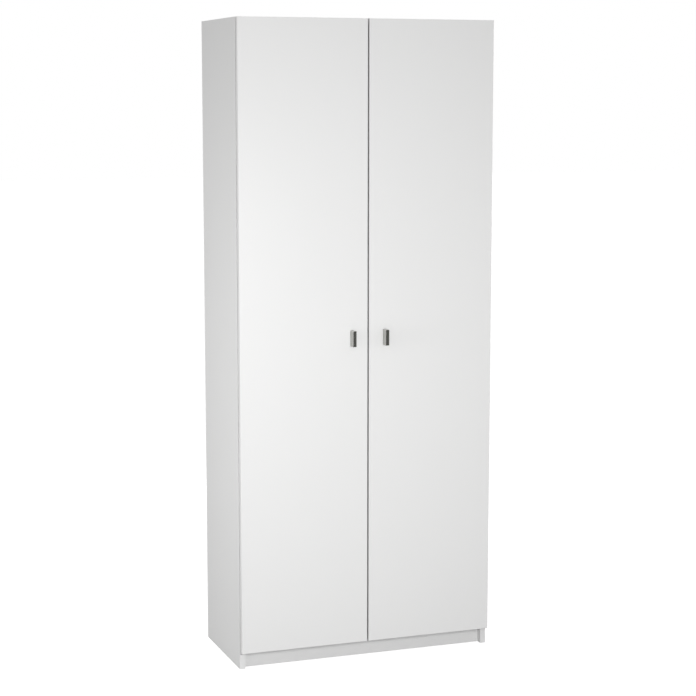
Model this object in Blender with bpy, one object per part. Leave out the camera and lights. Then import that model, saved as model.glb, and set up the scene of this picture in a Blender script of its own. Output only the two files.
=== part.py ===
"""Tall storage cupboard with two full-overlay doors, in metres, +Z up, front towards -Y.

The origin is on the floor, under the middle of the whole body. The carcass is a box of coated
boards with a grooved-in back. Each door turns on three sunk cup hinges that share one upright pin
line, so a door's motion is one plain turn. The inside, which closed doors hide, has one fixed shelf
and three shelves that lie on pins.
"""

import math

import bmesh
import bpy
from mathutils import Vector

# Overall sizes
CUPBOARD_WIDTH = 0.750
CUPBOARD_HEIGHT = 1.800
CARCASS_DEPTH = 0.331

# Clearance left between two pieces that touch
FIT = 0.0003

# Boards
BOARD = 0.016
PLINTH_HEIGHT = 0.0517
PLINTH_RECESS = 0.018
SHELF_SETBACK = 0.018

# Back
BACK_THICKNESS = 0.003
BACK_INSET = 0.010
GROOVE_DEPTH = 0.007
STRIP_WIDTH = 0.020
STRIP_WALL = 0.0010

# Doors
DOOR_THICKNESS = 0.016
DOOR_STANDOFF = 0.003
DOOR_SIDE_REVEAL = 0.0015
DOOR_FLOOR_GAP = 0.049
CENTRE_GAP = 0.004

# Handles
HANDLE_WIDTH = 0.010
HANDLE_HEIGHT = 0.044
HANDLE_PROJECTION = 0.024
HANDLE_CENTRE_HEIGHT = 0.923
HANDLE_FROM_EDGE = 0.0465
HANDLE_EDGE = 0.0008
DISH_WIDTH = 0.0050
DISH_DEPTH = 0.0007
SCREW_SPACING = 0.032
SCREW_RADIUS = 0.0019
SCREW_HEAD_RADIUS = 0.0036
SCREW_HEAD_HEIGHT = 0.0020
SCREW_GRIP = 0.012

# Door buffers
BUFFER_RADIUS = 0.0045
BUFFER_FROM_EDGE = 0.022

# Shelves and their pins
PIN_RADIUS = 0.0025
PIN_DEPTH = 0.008
PIN_HEAD_RADIUS = 0.0035
PIN_HEAD_LENGTH = 0.007
PIN_FRONT_LINE = 0.050
PIN_BACK_LINE = 0.050
HOLE_PITCH = 0.032
HOLES_EACH_WAY = 1

# Hinges, seen from above: the pin line lies this far in from the door's edge and from its inner face
AXIS_FROM_EDGE = 0.0073
AXIS_DEPTH = 0.0090
HINGE_FROM_END = 0.100
CUP_BORE_RADIUS = 0.0175
CUP_BORE_DEPTH = 0.0127
CUP_FROM_EDGE = 0.003
CUP_WALL = 0.0005
FLANGE_THICKNESS = 0.0010
FLANGE_HEIGHT = 0.058
FLANGE_WIDTH = 0.016
FLANGE_LIP = 0.0005
HINGE_PIN_RADIUS = 0.0011
HINGE_PIN_CLEARANCE = 0.00025
HINGE_PIN_HALF = 0.0072
KNUCKLE_RADIUS = 0.0025
KNUCKLE_HALF = 0.0045
KNUCKLE_CLEARANCE = 0.0004
ARM_THICKNESS = 0.0016
ARM_BELOW_AXIS = 0.0013
ARM_FROM_AXIS = 0.0130
ARM_BEND = 0.0014
ARM_BODY_HEIGHT = 0.017
ARM_BODY_THICKNESS = 0.0045
PLATE_FROM_FRONT = 0.037
PLATE_LENGTH = 0.040
PLATE_BOSS_HEIGHT = 0.014
PLATE_WING_HEIGHT = 0.046
PLATE_WING_WIDTH = 0.012
PLATE_WING_THICKNESS = 0.0020
PLATE_SCREW_SPACING = 0.032
PLATE_SCREW_RADIUS = 0.0025

# Sides of a round piece
FINE_SIDES = 32
COARSE_SIDES = 12
LUG_STEPS = 5
BEND_STEPS = 4

# Edges that turn more than this many degrees stay sharp on a round piece
SHARP_TURN = 35

# Depth positions, front to back
TOTAL_DEPTH = HANDLE_PROJECTION + FIT + DOOR_THICKNESS + DOOR_STANDOFF + CARCASS_DEPTH
REAR = TOTAL_DEPTH / 2
FRONT = REAR - CARCASS_DEPTH
DOOR_INSIDE = FRONT - DOOR_STANDOFF
DOOR_OUTSIDE = DOOR_INSIDE - DOOR_THICKNESS
GROOVE_REAR = REAR - BACK_INSET
GROOVE_FRONT = GROOVE_REAR - BACK_THICKNESS - 2 * FIT
BACK_FRONT = GROOVE_FRONT + FIT
BOARD_REAR = BACK_FRONT - FIT - STRIP_WALL - FIT

# Width and height positions
SIDE_OUTER = CUPBOARD_WIDTH / 2
SIDE_INNER = SIDE_OUTER - BOARD
DOOR_OUTER = SIDE_OUTER - DOOR_SIDE_REVEAL
HANDLE_X = CENTRE_GAP / 2 + HANDLE_FROM_EDGE
FLOOR_BOARD_BOTTOM = PLINTH_HEIGHT + FIT
FLOOR_BOARD_TOP = FLOOR_BOARD_BOTTOM + BOARD
TOP_BOARD_BOTTOM = CUPBOARD_HEIGHT - BOARD
SHELF_NAMES = ("adjustable_shelf_low", "fixed_shelf", "adjustable_shelf_middle", "adjustable_shelf_high")
COMPARTMENT = (TOP_BOARD_BOTTOM - FLOOR_BOARD_TOP - len(SHELF_NAMES) * BOARD) / (len(SHELF_NAMES) + 1)

# Hinge positions
AXIS_X = DOOR_OUTER - AXIS_FROM_EDGE
AXIS_Y = DOOR_INSIDE - AXIS_DEPTH
HINGE_HEIGHTS = {
    "low": DOOR_FLOOR_GAP + HINGE_FROM_END,
    "middle": (FLOOR_BOARD_TOP + TOP_BOARD_BOTTOM) / 2,
    "high": CUPBOARD_HEIGHT - HINGE_FROM_END,
}


def material(name, colour, roughness, metallic=0.0):
    made = bpy.data.materials.new(name)
    made.use_nodes = True
    shader = made.node_tree.nodes["Principled BSDF"]
    shader.inputs["Base Color"].default_value = (*colour, 1)
    shader.inputs["Roughness"].default_value = roughness
    shader.inputs["Metallic"].default_value = metallic
    made.diffuse_color = (*colour, 1)
    return made


def clear_scene():
    for old in list(bpy.data.objects):
        bpy.data.objects.remove(old)


def piece(name, shape, at, look=None, parent=None):
    """One object from a bmesh whose own zero is put at the world point at."""
    bmesh.ops.recalc_face_normals(shape, faces=shape.faces)
    mesh = bpy.data.meshes.new(name)
    shape.to_mesh(mesh)
    shape.free()
    made = bpy.data.objects.new(name, mesh)
    bpy.context.collection.objects.link(made)
    made.location = Vector(at) - (parent.location if parent else Vector())
    made.parent = parent
    if look:
        mesh.materials.append(look)
    return made


def box_into(shape, low, high):
    """Adds a box between two corners to a bmesh."""
    corners = [
        shape.verts.new((x, y, z))
        for z in (low[2], high[2])
        for x, y in ((low[0], low[1]), (high[0], low[1]), (high[0], high[1]), (low[0], high[1]))
    ]
    shape.faces.new(corners[3::-1])
    shape.faces.new(corners[4:])
    for i in range(4):
        j = (i + 1) % 4
        shape.faces.new((corners[i], corners[j], corners[4 + j], corners[4 + i]))


def rings_into(shape, rings):
    """Adds a closed skin through rings of points, with a flat cap at each end."""
    rows = [[shape.verts.new(point) for point in ring] for ring in rings]
    shape.faces.new(rows[0][::-1])
    shape.faces.new(rows[-1])
    for row, following in zip(rows, rows[1:]):
        for i in range(len(row)):
            j = (i + 1) % len(row)
            shape.faces.new((row[i], row[j], following[j], following[i]))


def turned_into(shape, profile, centre, axis, sides):
    """Adds a round piece: profile is a list of (radius, distance along axis), axis is "x", "y" or "z"."""
    turn = {"x": (1, 2, 0), "y": (2, 0, 1), "z": (0, 1, 2)}[axis]
    rings = []
    for radius, along in profile:
        ring = []
        for i in range(sides):
            angle = 2 * math.pi * i / sides
            point = [0.0, 0.0, 0.0]
            point[turn[0]] = radius * math.cos(angle)
            point[turn[1]] = radius * math.sin(angle)
            point[turn[2]] = along
            ring.append(Vector(centre) + Vector(point))
        rings.append(ring)
    rings_into(shape, rings)


def board(name, low, high, look, parent=None):
    """A plain board between two world corners, with its origin at its centre, or on its parent's axis."""
    middle = parent.location if parent else (Vector(low) + Vector(high)) / 2
    shape = bmesh.new()
    box_into(shape, Vector(low) - middle, Vector(high) - middle)
    return piece(name, shape, middle, look, parent)


def helper(name, shape, at):
    """A tool body for a Boolean, which is no part of the cupboard."""
    made = piece(name, shape, at)
    made.hide_render = True
    made.display_type = "WIRE"
    return made


def combine(target, tool, operation="DIFFERENCE"):
    step = target.modifiers.new(operation.lower(), "BOOLEAN")
    step.operation = operation
    step.solver = "EXACT"
    step.object = tool


def smooth(made):
    made.data.shade_smooth()
    made.data.set_sharp_from_angle(angle=math.radians(SHARP_TURN))


def shelf_bottom(index):
    """Height of the underside of shelf number index, counted from the lowest."""
    return FLOOR_BOARD_TOP + COMPARTMENT + index * (COMPARTMENT + BOARD)


def pin_height(index):
    return shelf_bottom(index) - FIT - PIN_HEAD_RADIUS


def pin_lines():
    """Depth positions of the front and back rows of shelf pins."""
    return {"front": FRONT + PIN_FRONT_LINE, "back": BOARD_REAR - PIN_BACK_LINE}


def adjustable_shelves():
    return [(i, name) for i, name in enumerate(SHELF_NAMES) if name.startswith("adjustable")]


def build_side_panel(side, name, look):
    """side is -1 for the left panel and 1 for the right one."""
    inner = side * SIDE_INNER
    outer = side * SIDE_OUTER
    panel = board(
        name,
        (min(inner, outer), FRONT, 0),
        (max(inner, outer), REAR, CUPBOARD_HEIGHT),
        look,
    )
    groove = bmesh.new()
    groove_x = sorted((inner - side * GROOVE_DEPTH, inner + side * GROOVE_DEPTH))
    box_into(
        groove,
        (groove_x[0], GROOVE_FRONT, -BOARD),
        (groove_x[1], GROOVE_REAR, TOP_BOARD_BOTTOM + GROOVE_DEPTH),
    )
    combine(panel, helper(name + "_groove", groove, (0, 0, 0)))
    holes = bmesh.new()
    hole = PIN_RADIUS + FIT
    for index, _ in adjustable_shelves():
        for step in range(-HOLES_EACH_WAY, HOLES_EACH_WAY + 1):
            for line in pin_lines().values():
                reach = PIN_DEPTH + FIT
                turned_into(
                    holes,
                    [(hole, -reach), (hole, reach)],
                    (inner, line, pin_height(index) + step * HOLE_PITCH),
                    "x",
                    COARSE_SIDES,
                )
    combine(panel, helper(name + "_holes", holes, (0, 0, 0)))


def build_carcass(coating, hardboard, plastic):
    build_side_panel(-1, "left_side_panel", coating)
    build_side_panel(1, "right_side_panel", coating)
    half = SIDE_INNER - FIT

    top = board("top_panel", (-half, FRONT, TOP_BOARD_BOTTOM), (half, REAR, CUPBOARD_HEIGHT), coating)
    groove = bmesh.new()
    box_into(
        groove,
        (-CUPBOARD_WIDTH, GROOVE_FRONT, TOP_BOARD_BOTTOM - GROOVE_DEPTH),
        (CUPBOARD_WIDTH, GROOVE_REAR, TOP_BOARD_BOTTOM + GROOVE_DEPTH),
    )
    combine(top, helper("top_groove", groove, (0, 0, 0)))

    board("bottom_panel", (-half, FRONT, FLOOR_BOARD_BOTTOM), (half, BOARD_REAR, FLOOR_BOARD_TOP), coating)
    plinth_front = FRONT + PLINTH_RECESS
    board("plinth_board", (-half, plinth_front, 0), (half, plinth_front + BOARD, PLINTH_HEIGHT), coating)

    # The two halves of the back slide in the grooves and meet in an H-shaped strip.
    back_bottom = FLOOR_BOARD_BOTTOM
    back_top = TOP_BOARD_BOTTOM + GROOVE_DEPTH - FIT
    web = STRIP_WALL / 2 + FIT
    edge = SIDE_INNER + GROOVE_DEPTH - FIT
    back_rear = BACK_FRONT + BACK_THICKNESS
    board("back_panel_left", (-edge, BACK_FRONT, back_bottom), (-web, back_rear, back_top), hardboard)
    board("back_panel_right", (web, BACK_FRONT, back_bottom), (edge, back_rear, back_top), hardboard)
    build_back_strip(back_bottom, TOP_BOARD_BOTTOM - FIT, plastic)


def build_back_strip(bottom, top, look):
    front = BACK_FRONT - FIT - STRIP_WALL
    rear = BACK_FRONT + BACK_THICKNESS + FIT + STRIP_WALL
    wing = STRIP_WIDTH / 2
    web = STRIP_WALL / 2
    outline = [
        (-wing, front), (wing, front), (wing, front + STRIP_WALL), (web, front + STRIP_WALL),
        (web, rear - STRIP_WALL), (wing, rear - STRIP_WALL), (wing, rear), (-wing, rear),
        (-wing, rear - STRIP_WALL), (-web, rear - STRIP_WALL), (-web, front + STRIP_WALL),
        (-wing, front + STRIP_WALL),
    ]
    centre = Vector((0, (front + rear) / 2, (bottom + top) / 2))
    shape = bmesh.new()
    rings_into(shape, [[Vector((x, y, z)) - centre for x, y in outline] for z in (bottom, top)])
    piece("back_joining_strip", shape, centre, look)


def build_shelves(coating, steel):
    half = SIDE_INNER - FIT
    for index, name in enumerate(SHELF_NAMES):
        bottom = shelf_bottom(index)
        board(name, (-half, FRONT + SHELF_SETBACK, bottom), (half, BOARD_REAR, bottom + BOARD), coating)
    for index, name in adjustable_shelves():
        level = name.rsplit("_", 1)[1]
        for side, side_name in ((-1, "left"), (1, "right")):
            for row, line in pin_lines().items():
                shape = bmesh.new()
                profile = [
                    (PIN_RADIUS, PIN_DEPTH),
                    (PIN_RADIUS, -FIT),
                    (PIN_HEAD_RADIUS, -FIT),
                    (PIN_HEAD_RADIUS, -FIT - PIN_HEAD_LENGTH),
                ]
                turned_into(shape, [(r, side * x) for r, x in profile], (0, 0, 0), "x", COARSE_SIDES)
                at = (side * SIDE_INNER, line, pin_height(index))
                smooth(piece(f"shelf_pin_{level}_{side_name}_{row}", shape, at, steel))


def build_cup(side, name, look, at, axis):
    """The cup sunk in the door. Its drawing has x from the pin line into the door and y to the rear."""
    centre = CUP_FROM_EDGE + CUP_BORE_RADIUS - AXIS_FROM_EDGE
    outer = CUP_BORE_RADIUS - FIT
    inner = outer - CUP_WALL
    lip = CUP_BORE_RADIUS + FLANGE_LIP
    under = AXIS_DEPTH - CUP_BORE_DEPTH + FIT
    floor = under + CUP_WALL
    seat = AXIS_DEPTH + FIT
    mouth = seat + FLANGE_THICKNESS
    shape = bmesh.new()
    wall = [(inner, floor), (inner, mouth), (lip, mouth), (lip, seat), (outer, seat), (outer, under)]
    turned_into(shape, wall, (side * centre, 0, 0), "y", FINE_SIDES)
    cup = piece(name, shape, at, look, axis)

    # Two wings on the rim take the screws.
    wings = bmesh.new()
    wing_x = sorted(side * (centre + half) for half in (-FLANGE_WIDTH / 2, FLANGE_WIDTH / 2))
    for upward in (-1, 1):
        wing_z = sorted((upward * (inner + CUP_WALL / 2), upward * FLANGE_HEIGHT / 2))
        box_into(wings, (wing_x[0], seat, wing_z[0]), (wing_x[1], mouth, wing_z[1]))
    combine(cup, helper(name + "_wings", wings, at), "UNION")

    # Two lugs in the cup hold the pin above and below the knuckle.
    lug_top = HINGE_PIN_RADIUS + 2 * CUP_WALL + FIT
    lug_face = KNUCKLE_RADIUS + CUP_WALL
    lug_end = inner + CUP_WALL / 2
    slot_half = KNUCKLE_HALF + KNUCKLE_CLEARANCE
    near = math.acos((lug_face - centre) / lug_end)
    far = math.pi - math.asin(slot_half / lug_end)
    lugs = bmesh.new()
    for upward in (-1, 1):
        outline = [(lug_face, upward * slot_half)]
        for i in range(LUG_STEPS + 1):
            angle = near + (far - near) * i / LUG_STEPS
            outline.append((centre + lug_end * math.cos(angle), upward * lug_end * math.sin(angle)))
        depths = (under + CUP_WALL / 2, lug_top)
        rings_into(lugs, [[Vector((side * x, y, z)) for x, z in outline] for y in depths])
    combine(cup, helper(name + "_lugs", lugs, at), "UNION")
    bore = bmesh.new()
    hole = HINGE_PIN_RADIUS + FIT
    bore_half = HINGE_PIN_HALF + FIT
    turned_into(bore, [(hole, -bore_half), (hole, bore_half)], (0, 0, 0), "z", COARSE_SIDES)
    combine(cup, helper(name + "_bore", bore, at))


def arm_outline():
    """The bent strip seen from above: round the knuckle, out of the cup, then straight back."""
    top = -ARM_BELOW_AXIS + ARM_THICKNESS / 2
    bottom = -ARM_BELOW_AXIS - ARM_THICKNESS / 2
    left = ARM_FROM_AXIS - ARM_THICKNESS / 2
    right = ARM_FROM_AXIS + ARM_THICKNESS / 2
    end = arm_body_start() + ARM_THICKNESS
    inner = ARM_BEND - ARM_THICKNESS / 2
    outer = ARM_BEND + ARM_THICKNESS / 2
    bend = Vector((ARM_FROM_AXIS - ARM_BEND, -ARM_BELOW_AXIS + ARM_BEND))
    start = math.asin(top / KNUCKLE_RADIUS)
    finish = 2 * math.pi + math.asin(bottom / KNUCKLE_RADIUS)
    points = []
    for i in range(COARSE_SIDES + 1):
        angle = start + (finish - start) * i / COARSE_SIDES
        points.append((KNUCKLE_RADIUS * math.cos(angle), KNUCKLE_RADIUS * math.sin(angle)))
    quarter = [math.pi / 2 * i / BEND_STEPS - math.pi / 2 for i in range(BEND_STEPS + 1)]
    points += [(bend.x + outer * math.cos(a), bend.y + outer * math.sin(a)) for a in quarter]
    points += [(right, end), (left, end)]
    points += [(bend.x + inner * math.cos(a), bend.y + inner * math.sin(a)) for a in reversed(quarter)]
    return points


def arm_body_start():
    """Distance behind the pin line at which the arm's thick part begins."""
    return AXIS_DEPTH + DOOR_STANDOFF + PLATE_FROM_FRONT - PLATE_LENGTH / 2


def build_arm(side, name, look, at):
    shape = bmesh.new()
    outline = [(side * x, y) for x, y in arm_outline()]
    rings_into(shape, [[Vector((x, y, z)) for x, y in outline] for z in (-KNUCKLE_HALF, KNUCKLE_HALF)])
    arm = piece(name, shape, at, look)
    body = bmesh.new()
    left = ARM_FROM_AXIS - ARM_THICKNESS / 2
    body_x = sorted((side * left, side * (left + ARM_BODY_THICKNESS)))
    start = arm_body_start()
    half = ARM_BODY_HEIGHT / 2
    box_into(body, (body_x[0], start, -half), (body_x[1], start + PLATE_LENGTH, half))
    combine(arm, helper(name + "_body", body, at), "UNION")
    bore = bmesh.new()
    hole = HINGE_PIN_RADIUS + HINGE_PIN_CLEARANCE
    turned_into(bore, [(hole, -BOARD), (hole, BOARD)], (0, 0, 0), "z", COARSE_SIDES)
    combine(arm, helper(name + "_bore", bore, at))


def build_plate(side, name, look, height):
    """The cross-shaped plate on the side panel. The arm lies on its raised bar."""
    arm_left = AXIS_X - (ARM_FROM_AXIS - ARM_THICKNESS / 2)
    seat = SIDE_INNER - FIT
    crest = arm_left + FIT
    middle = FRONT + PLATE_FROM_FRONT
    at = Vector((side * seat, middle, height))
    shape = bmesh.new()
    bar_x = sorted((0, side * (crest - seat)))
    half_bar = PLATE_BOSS_HEIGHT / 2
    box_into(shape, (bar_x[0], -PLATE_LENGTH / 2, -half_bar), (bar_x[1], PLATE_LENGTH / 2, half_bar))
    plate = piece(name, shape, at, look)
    wings = bmesh.new()
    wing_x = sorted((0, -side * PLATE_WING_THICKNESS))
    half_width = PLATE_WING_WIDTH / 2
    half_height = PLATE_WING_HEIGHT / 2
    box_into(wings, (wing_x[0], -half_width, -half_height), (wing_x[1], half_width, half_height))
    combine(plate, helper(name + "_wings", wings, at), "UNION")
    holes = bmesh.new()
    for z in (-PLATE_SCREW_SPACING / 2, PLATE_SCREW_SPACING / 2):
        turned_into(
            holes,
            [(PLATE_SCREW_RADIUS, -BOARD), (PLATE_SCREW_RADIUS, BOARD)],
            (0, 0, z),
            "x",
            COARSE_SIDES,
        )
    combine(plate, helper(name + "_holes", holes, at))


def build_hinge(side, side_name, level, height, steel, nickel, axis):
    # The left door's drawings run to +X and the right door's to -X.
    inward = -side
    at = Vector((side * AXIS_X, AXIS_Y, height))
    build_cup(inward, f"{side_name}_hinge_cup_{level}", steel, at, axis)
    build_arm(inward, f"{side_name}_hinge_arm_{level}", nickel, at)
    build_plate(side, f"{side_name}_hinge_plate_{level}", nickel, height)
    shape = bmesh.new()
    turned_into(
        shape,
        [(HINGE_PIN_RADIUS, -HINGE_PIN_HALF), (HINGE_PIN_RADIUS, HINGE_PIN_HALF)],
        (0, 0, 0),
        "z",
        COARSE_SIDES,
    )
    smooth(piece(f"{side_name}_hinge_pin_{level}", shape, at, steel, axis))


def build_handle(side, side_name, metal, steel, axis):
    x = side * HANDLE_X
    back = DOOR_OUTSIDE - FIT
    at = Vector((x, back, HANDLE_CENTRE_HEIGHT))
    shape = bmesh.new()
    box_into(
        shape,
        (-HANDLE_WIDTH / 2, -HANDLE_PROJECTION, -HANDLE_HEIGHT / 2),
        (HANDLE_WIDTH / 2, 0, HANDLE_HEIGHT / 2),
    )
    handle = piece(side_name + "_handle", shape, at, metal, axis)
    edge = handle.modifiers.new("edge", "BEVEL")
    edge.width = HANDLE_EDGE
    edge.segments = 1

    # A shallow dish runs the length of the front face.
    dish = bmesh.new()
    half = DISH_WIDTH / 2
    outline = [
        (-half - DISH_DEPTH, -HANDLE_PROJECTION - DISH_DEPTH),
        (half + DISH_DEPTH, -HANDLE_PROJECTION - DISH_DEPTH),
        (half - DISH_DEPTH, -HANDLE_PROJECTION + DISH_DEPTH),
        (-half + DISH_DEPTH, -HANDLE_PROJECTION + DISH_DEPTH),
    ]
    reach = HANDLE_HEIGHT
    rings_into(dish, [[Vector((x, y, z)) for x, y in outline] for z in (-reach, reach)])
    combine(handle, helper(side_name + "_handle_dish", dish, at))
    sockets = bmesh.new()
    for z in (-SCREW_SPACING / 2, SCREW_SPACING / 2):
        turned_into(
            sockets,
            [(SCREW_RADIUS + FIT, -SCREW_GRIP - FIT), (SCREW_RADIUS + FIT, BOARD)],
            (0, 0, z),
            "y",
            COARSE_SIDES,
        )
    combine(handle, helper(side_name + "_handle_sockets", sockets, at))

    for word, z in (("lower", -SCREW_SPACING / 2), ("upper", SCREW_SPACING / 2)):
        head = DOOR_INSIDE + FIT
        screw = bmesh.new()
        turned_into(
            screw,
            [
                (SCREW_RADIUS, back - SCREW_GRIP - head),
                (SCREW_RADIUS, 0),
                (SCREW_HEAD_RADIUS, 0),
                (SCREW_HEAD_RADIUS, SCREW_HEAD_HEIGHT / 2),
                (SCREW_HEAD_RADIUS / 2, SCREW_HEAD_HEIGHT),
            ],
            (0, 0, 0),
            "y",
            COARSE_SIDES,
        )
        place = (x, head, HANDLE_CENTRE_HEIGHT + z)
        smooth(piece(f"{side_name}_handle_screw_{word}", screw, place, steel, axis))


def build_buffers(side, side_name, look, axis):
    """Soft pads on the door's inner face, over the front edges of the top and bottom panels."""
    heights = {"low": FLOOR_BOARD_TOP - BOARD / 2, "high": TOP_BOARD_BOTTOM + BOARD / 2}
    thickness = DOOR_STANDOFF - 2 * FIT
    for level, height in heights.items():
        shape = bmesh.new()
        turned_into(shape, [(BUFFER_RADIUS, 0), (BUFFER_RADIUS, thickness)], (0, 0, 0), "y", COARSE_SIDES)
        at = (side * (CENTRE_GAP / 2 + BUFFER_FROM_EDGE), DOOR_INSIDE + FIT, height)
        smooth(piece(f"{side_name}_door_buffer_{level}", shape, at, look, axis))


def build_door(side, side_name, looks):
    axis = bpy.data.objects.new(side_name + "_door_axis", None)
    axis.location = (side * AXIS_X, AXIS_Y, 0)
    bpy.context.collection.objects.link(axis)
    door_x = sorted((side * DOOR_OUTER, side * CENTRE_GAP / 2))
    door = board(
        side_name + "_door",
        (door_x[0], DOOR_OUTSIDE, DOOR_FLOOR_GAP),
        (door_x[1], DOOR_INSIDE, CUPBOARD_HEIGHT),
        looks["door"],
        axis,
    )
    bores = bmesh.new()
    cup_x = side * (DOOR_OUTER - CUP_FROM_EDGE - CUP_BORE_RADIUS)
    for height in HINGE_HEIGHTS.values():
        turned_into(
            bores,
            [(CUP_BORE_RADIUS, -CUP_BORE_DEPTH), (CUP_BORE_RADIUS, CUP_BORE_DEPTH)],
            (cup_x, DOOR_INSIDE, height),
            "y",
            FINE_SIDES,
        )
    for z in (-SCREW_SPACING / 2, SCREW_SPACING / 2):
        turned_into(
            bores,
            [(SCREW_RADIUS + FIT, -2 * DOOR_THICKNESS), (SCREW_RADIUS + FIT, DOOR_THICKNESS)],
            (side * HANDLE_X, DOOR_INSIDE, HANDLE_CENTRE_HEIGHT + z),
            "y",
            COARSE_SIDES,
        )
    combine(door, helper(side_name + "_door_bores", bores, (0, 0, 0)))
    for level, height in HINGE_HEIGHTS.items():
        build_hinge(side, side_name, level, height, looks["steel"], looks["nickel"], axis)
    build_handle(side, side_name, looks["handle"], looks["steel"], axis)
    build_buffers(side, side_name, looks["buffer"], axis)


def main():
    clear_scene()
    looks = {
        "coating": material("white_coated_board", (0.80, 0.80, 0.79), 0.45),
        "door": material("white_door_front", (0.86, 0.86, 0.85), 0.35),
        "back": material("white_hardboard", (0.74, 0.74, 0.72), 0.60),
        "plastic": material("white_plastic", (0.78, 0.78, 0.77), 0.40),
        "steel": material("zinc_plated_steel", (0.62, 0.62, 0.60), 0.35, 1.0),
        "nickel": material("nickel_plated_steel", (0.66, 0.65, 0.62), 0.28, 1.0),
        "handle": material("satin_metal_handle", (0.42, 0.42, 0.40), 0.30, 1.0),
        "buffer": material("clear_soft_buffer", (0.75, 0.76, 0.76), 0.30),
    }
    build_carcass(looks["coating"], looks["back"], looks["plastic"])
    build_shelves(looks["coating"], looks["steel"])
    build_door(-1, "left", looks)
    build_door(1, "right", looks)


main()
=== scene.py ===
"""Looks of the tall white storage cupboard: boards, fittings, finishes, floor, light and camera.

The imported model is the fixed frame, in metres, +Z up, front towards -Y. The boards, pulls, pull screws,
shelf pegs and pads are modelled again, each where its solid is, and the parts of the hinges are copies of
their solids with rounded edges. Caps, nails, hinge screws and the strips in the pulls are added. The back,
the strip that joins it and the hinge pins stay as they are and only get a finish.
"""

import math

import bmesh
import bpy
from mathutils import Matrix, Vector


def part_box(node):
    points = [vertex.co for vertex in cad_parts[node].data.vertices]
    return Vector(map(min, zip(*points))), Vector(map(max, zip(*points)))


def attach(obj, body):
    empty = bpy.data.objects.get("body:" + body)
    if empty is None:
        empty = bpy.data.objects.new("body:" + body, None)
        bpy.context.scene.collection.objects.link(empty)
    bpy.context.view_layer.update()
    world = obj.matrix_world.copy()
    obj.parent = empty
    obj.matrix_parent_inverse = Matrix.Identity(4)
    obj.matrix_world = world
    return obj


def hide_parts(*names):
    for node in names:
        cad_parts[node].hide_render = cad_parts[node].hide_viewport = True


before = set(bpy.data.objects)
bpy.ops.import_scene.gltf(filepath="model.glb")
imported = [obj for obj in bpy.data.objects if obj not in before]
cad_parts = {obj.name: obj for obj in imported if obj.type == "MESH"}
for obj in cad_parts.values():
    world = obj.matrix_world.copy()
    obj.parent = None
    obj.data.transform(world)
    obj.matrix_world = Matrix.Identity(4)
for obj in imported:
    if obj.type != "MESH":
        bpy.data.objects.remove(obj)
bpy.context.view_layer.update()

# Clearance that the frame leaves between two pieces that touch
FIT = 0.0003

# Words that the frame's names are made of, and the way inwards from each side with its sign on X
SIDES = ("left", "right")
INWARD = {"left": ("+x", 1), "right": ("-x", -1)}
LEVELS = ("low", "middle", "high")
ROWS = ("front", "back")
PULL_SCREWS = ("lower", "upper")

# Edges of boards
DOOR_EDGE_RADIUS = 0.0004
BOARD_EDGE_RADIUS = 0.0004
BAND_THICKNESS = 0.0010
SEAM_WIDTH = 0.00012
SEAM_DARKNESS = 0.35
RAW_DEPTH = 0.0002
RAW_BLUR = 0.0001

# How deep the white paint on the back's front goes
PAINT_DEPTH = 0.0006
PAINT_BLUR = 0.0003

# Whites of the boards
CARCASS_WHITE = 0.86
DOOR_WHITE = 0.885
BAND_COLOUR = (0.865, 0.865, 0.863)
# Painted shade: a greyer white for the band on a door's meeting edge, standing for the shade in the gap
# between the doors
GAP_SHADE_BAND_COLOUR = (0.76, 0.76, 0.755)
SEAM_COLOUR = (0.42, 0.41, 0.39)

# Holes in boards
PEG_HOLE_RADIUS = 0.0028
PEG_HOLE_DEPTH = 0.0083
PEG_HOLE_PITCH = 0.032
GROOVE_DEPTH = 0.007
CUP_BORE_RADIUS = 0.0175
CUP_BORE_DEPTH = 0.0127
PULL_SCREW_HOLE = 0.0022
THROUGH_DOOR = 0.04

# Pulls
PULL_CORNER_RADIUS = 0.0003
PULL_RIM = 0.0004
PULL_RECESS = 0.0014
PULL_SOCKET_DEPTH = 0.0123

# Dark strip in a pull: its play, how far it sits behind the rim, the depth of its scoop at each distance
# from its middle line, and the two heights from its centre between which the scoop runs out
STRIP_PLAY = 0.00005
STRIP_SET_BACK = 0.00015
STRIP_SCOOP = ((0.0, 0.00020), (0.0012, 0.00017), (0.0024, 0.00010), (0.0034, 0.0))
SCOOP_ENDS = (0.0170, 0.0192)

# Shelf pegs, with the rim and the slope round the dimple as shares of the head's radius
PEG_RADIUS = 0.0025
PEG_END_RADIUS = 0.0005
PEG_DIMPLE = 0.0006
PEG_RIM = 0.3
PEG_SLOPE = 0.12

# Screws: the shank behind a pull, and the radius and height of each head on a hinge
PULL_SCREW_SHANK = 0.0019
CUP_SCREW_HEAD = (0.0034, 0.0009)
PLATE_SCREW_HEAD = (0.0038, 0.0014)
ARM_SCREW_HEAD = (0.0032, 0.0010)

# Shares of a screw head's height that its dome and its cross take up, and of its radius that each arm of
# the cross reaches along and to either side
HEAD_DOME = 0.62
CROSS_DEPTH = 0.5
CROSS_REACH = 0.58
CROSS_WIDTH = 0.15

# Share of a pad's height that its dome takes up
PAD_DOME = 0.7

# Places of the screws on a hinge, and the thickness of its plate under them
CUP_SCREW_PLACES = (("below", -0.0235), ("above", 0.0235))
PLATE_SCREW_PLACES = (("below", -0.016), ("above", 0.016))
ARM_SCREW_PLACES = (("front", 0.030), ("rear", 0.009))
PLATE_WING = 0.0020

# Pressed parts of a hinge: their rounded edges, how close points are merged, and the angles in degrees
# up to which faces become one flat face and from which an edge is rounded
CUP_EDGE_RADIUS = 0.00015
ARM_EDGE_RADIUS = 0.0002
PLATE_EDGE_RADIUS = 0.0003
MERGE_DISTANCE = 0.00001
FLAT_ANGLE = 1
SHARP_ANGLE = 50

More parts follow.
